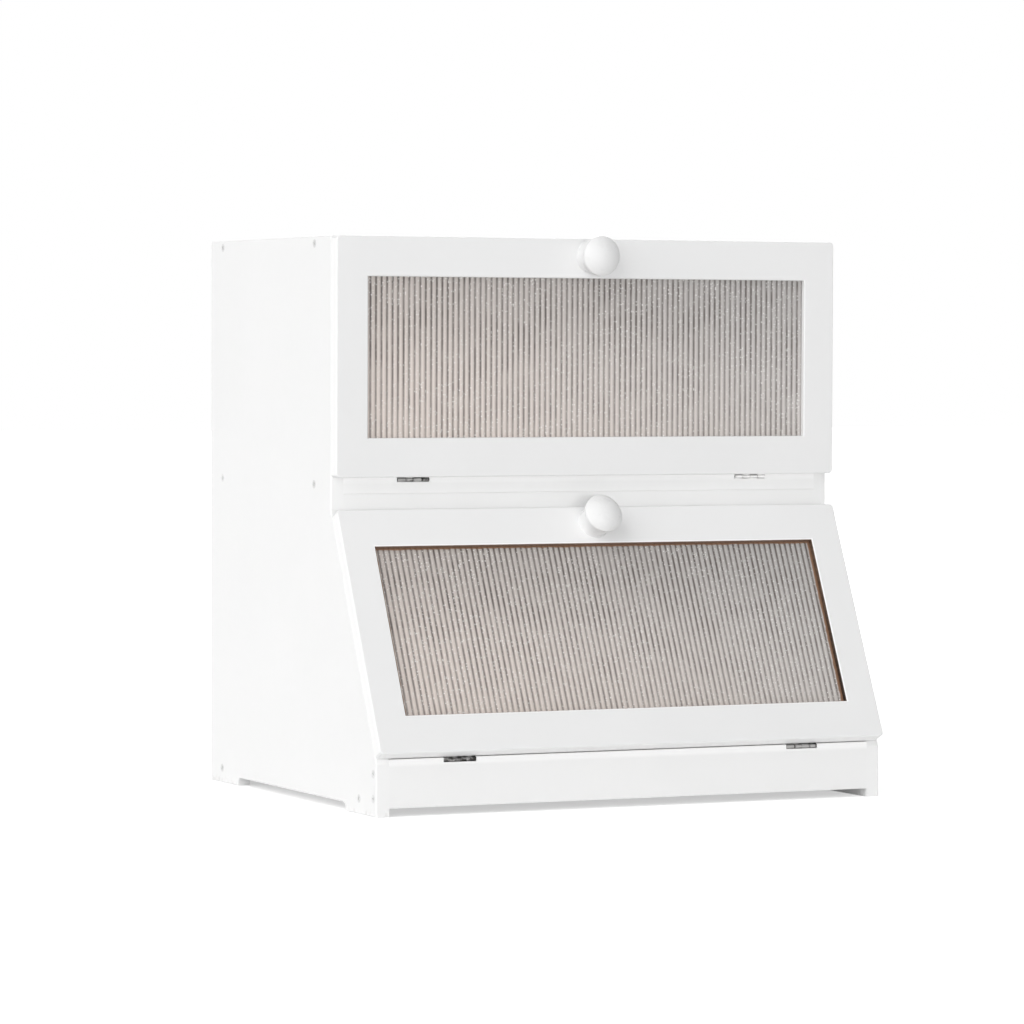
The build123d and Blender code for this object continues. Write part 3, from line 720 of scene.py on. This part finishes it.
def pane_tree():
    """A slab whose face is drawn into shallow ribs, set at its place in the door."""
    tree, keys = new_tree(
        "reeded_pane",
        (
            ("Ribs", "Int"),
            ("Rib Steps", "Int"),
            ("Rib Pitch", "Float"),
            ("Rib Depth", "Float"),
            ("Height", "Float"),
            ("Thickness", "Float"),
            ("Place", "Vector"),
            ("Turn", "Vector"),
            ("Finish", "Material"),
        ),
    )
    given = wire(tree, "NodeGroupInput").outputs
    columns = reckon(tree, "ADD", reckon(tree, "MULTIPLY", given["Ribs"], given["Rib Steps"]), 1.0)
    width = reckon(tree, "MULTIPLY", given["Ribs"], given["Rib Pitch"])
    slab = wire(
        tree,
        "GeometryNodeMeshCube",
        {"Size": vector(tree, width, given["Height"], given["Thickness"]), "Vertices X": columns},
    ).outputs["Mesh"]
    position = wire(tree, "GeometryNodeInputPosition").outputs[0]
    spot = wire(tree, "ShaderNodeSeparateXYZ", {"Vector": position})
    share = reckon(tree, "FRACT", reckon(tree, "DIVIDE", spot.outputs["X"], given["Rib Pitch"]))
    from_crest = reckon(tree, "SUBTRACT", reckon(tree, "MULTIPLY", share, 2.0), 1.0)
    fall = reckon(tree, "MULTIPLY", reckon(tree, "POWER", from_crest, 2.0), given["Rib Depth"])
    in_front = wire(tree, "FunctionNodeCompare", {"A": spot.outputs["Z"]}, operation="GREATER_THAN")
    ribbed = wire(
        tree,
        "GeometryNodeSetPosition",
        {
            "Geometry": slab,
            "Selection": in_front.outputs["Result"],
            "Offset": vector(tree, z=reckon(tree, "MULTIPLY", fall, -1.0)),
        },
    ).outputs["Geometry"]
    end_tree(tree, moved(tree, ribbed, given["Place"], given["Turn"]), given["Finish"])
    return tree, keys


reeded = pane_tree()
for tier in TIERS:
    axes = door_axes(tier)
    low, high = local_box(f"{tier}_window_pane", axes)
    values = {
        "Ribs": int((high.x - low.x) / RIB_PITCH),
        "Rib Steps": RIB_STEPS,
        "Rib Pitch": RIB_PITCH,
        "Rib Depth": RIB_DEPTH,
        "Height": high.y - low.y,
        "Thickness": high.z - low.z,
        "Place": axes @ ((low + high) / 2),
        "Turn": Vector(axes.to_euler()),
        "Finish": reeded_acrylic(tier),
    }
    if tier == "lower":
        painted_wall_reflection(values["Finish"], tier)
    name = f"{tier}_reeded_pane"
    pane = grown_piece(name, bpy.data.meshes.new(name), *reeded, values)
    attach(pane, f"{tier}_door")
    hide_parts(f"{tier}_window_pane")

# Glazing beads: slim rounded strips that hold each pane from behind.
# Moulded fibreboard in the doors' own lacquer, pressed into the rebate.
BEAD_SHEEN = (0.4, 0.55)
bead_lacquer = satin_lacquer("bead_lacquer", DOOR_SHADED_WHITE, DOOR_SHADED_TONE, BEAD_SHEEN)
for tier in TIERS:
    for edge in ("top", "bottom", "left", "right"):
        dress(bead_lacquer, f"{tier}_bead_{edge}")

# Knobs: round turned knobs with a slim waist and a domed head.
# Turned wood under several coats of white enamel, each held by one pan-head screw
# from the back of its door.
KNOB_WHITE = (0.82, 0.82, 0.82, 1.0)
KNOB_SHADE = (0.795, 0.796, 0.796, 1.0)
KNOB_SHEEN = (0.26, 0.34)
KNOB_SHINE = 0.2
knob_enamel = satin_lacquer("knob_enamel", KNOB_WHITE, KNOB_SHADE, KNOB_SHEEN)
enamel_surface = knob_enamel.node_tree.nodes["Principled BSDF"]
enamel_surface.inputs["Specular IOR Level"].default_value = KNOB_SHINE
for tier in TIERS:
    dress(knob_enamel, f"{tier}_knob")
    dress(zinc, f"{tier}_knob_screw")

# Stage: a wide sheet of pale matt paper that the box stands on.
# It keeps the box's soft shadow and fades into white further off, where a glow that only
# the camera, mirrors and panes see lifts it.
FLOOR_HALF = 14.0
FLOOR_DROP = 0.05 * MM
FLOOR_GREY = (0.92, 0.92, 0.92, 1.0)
FLOOR_LIFT = 0.47
FAR_LIFT = 0.77
SHADOW_REACH = 0.45
FAR_REACH = 1.8


def seen_directly(tree):
    """One for rays from the camera, a mirror or a pane, so that they meet white."""
    path = wire(tree, "ShaderNodeLightPath").outputs
    straight = reckon(tree, "MAXIMUM", path["Is Camera Ray"], path["Is Glossy Ray"])
    return reckon(tree, "MAXIMUM", straight, path["Is Transmission Ray"])


floor_mesh = bpy.data.meshes.new("floor")
corner_signs = ((-1, -1), (1, -1), (1, 1), (-1, 1))
corners = [(x * FLOOR_HALF, y * FLOOR_HALF, -FLOOR_DROP) for x, y in corner_signs]
floor_mesh.from_pydata(corners, [], [(0, 1, 2, 3)])
floor = bpy.data.objects.new("floor", floor_mesh)
bpy.context.scene.collection.objects.link(floor)
floor_paint = bpy.data.materials.new("floor_paint")
floor_paint.use_nodes = True
floor_tree = floor_paint.node_tree
floor_tree.nodes.remove(floor_tree.nodes["Principled BSDF"])
matt = wire(floor_tree, "ShaderNodeBsdfDiffuse", {"Color": FLOOR_GREY}).outputs[0]
spread = wire(floor_tree, "ShaderNodeTexCoord").outputs["Object"]
reach = wire(floor_tree, "ShaderNodeVectorMath", {0: spread}, operation="LENGTH").outputs["Value"]
fading = ease(floor_tree, reach, SHADOW_REACH, FAR_REACH, FLOOR_LIFT, FAR_LIFT)
lift = reckon(floor_tree, "MULTIPLY", seen_directly(floor_tree), fading)
glow = wire(floor_tree, "ShaderNodeEmission", {"Strength": lift}).outputs[0]
lifted = wire(floor_tree, "ShaderNodeAddShader", {0: matt, 1: glow}).outputs[0]
floor_tree.links.new(lifted, floor_tree.nodes["Material Output"].inputs["Surface"])
floor_mesh.materials.append(floor_paint)

# Light: a white dome, dim on the right and brighter overhead, and three soft lamps.
# A large one stands to the left, a strip by the camera reaches under the doors, and one
# behind lights the back.
DOME_LEFT = 0.5
DOME_RIGHT = 0.21
DOME_ZENITH = 1.5
DOME_TURN = (-0.6, 0.7)
BOX_MIDDLE = (0.0, 0.0, 0.2)
world = bpy.data.worlds.new("studio")
bpy.context.scene.world = world
world.use_nodes = True
dome_tree = world.node_tree
dome = dome_tree.nodes["Background"]
dome.inputs["Color"].default_value = (1.0, 1.0, 1.0, 1.0)
sky = wire(dome_tree, "ShaderNodeTexCoord").outputs["Object"]
ways = wire(dome_tree, "ShaderNodeSeparateXYZ", {"Vector": sky}).outputs
overhead = ease(dome_tree, ways["Z"], 0.0, 1.0, 1.0, DOME_ZENITH)
sideways = ease(dome_tree, ways["X"], *DOME_TURN, DOME_LEFT, DOME_RIGHT)
shaded = reckon(dome_tree, "MULTIPLY", overhead, sideways)
level = ease(dome_tree, seen_directly(dome_tree), 0.0, 1.0, shaded, 1.0)
dome_tree.links.new(level, dome.inputs["Strength"])


def soft_lamp(name, place, width, height, power):
    """An oblong soft lamp at a place, facing the middle of the box."""
    lamp = bpy.data.lights.new(name, "AREA")
    lamp.shape = "RECTANGLE"
    lamp.size = width
    lamp.size_y = height
    lamp.energy = power
    holder = bpy.data.objects.new(name, lamp)
    holder.location = place
    towards = Vector(BOX_MIDDLE) - Vector(place)
    holder.rotation_euler = towards.to_track_quat("-Z", "Y").to_euler()
    bpy.context.scene.collection.objects.link(holder)


soft_lamp("key_lamp", place=(-4.6, -2.8, 3.0), width=5.5, height=5.5, power=188.0)
soft_lamp("front_lamp", place=(-0.8, -4.5, 0.33), width=1.8, height=0.6, power=43.0)
soft_lamp("rear_lamp", place=(2.6, 4.2, 2.4), width=2.4, height=2.4, power=80.0)

# Camera: a long lens a little above the middle of the box, off to its left.
# Its place and turn were fitted to the corners of the doors, panels and feet, so that the
# box lies in the picture as it was photographed.
IMAGE_SIDE = 1024
FOCAL_PIXELS = 4618.2
SENSOR = 36.0
CLIP_END = 100.0
CAMERA_PLACE = (-1.4774, -3.0788, 0.325)
HEADING = radians(25.259)
TILT = radians(-2.015)
ROLL = radians(0.198)
camera_data = bpy.data.cameras.new("camera")
camera_data.sensor_width = SENSOR
camera_data.lens = FOCAL_PIXELS / IMAGE_SIDE * SENSOR
camera_data.clip_end = CLIP_END
camera = bpy.data.objects.new("camera", camera_data)
camera.location = CAMERA_PLACE
look = Euler((pi / 2 + TILT, 0.0, -HEADING)).to_quaternion()
camera.rotation_mode = "QUATERNION"
camera.rotation_quaternion = look @ Quaternion((0, 0, 1), ROLL)
bpy.context.scene.collection.objects.link(camera)
bpy.context.scene.camera = camera
bpy.context.scene.view_settings.view_transform = "Standard"
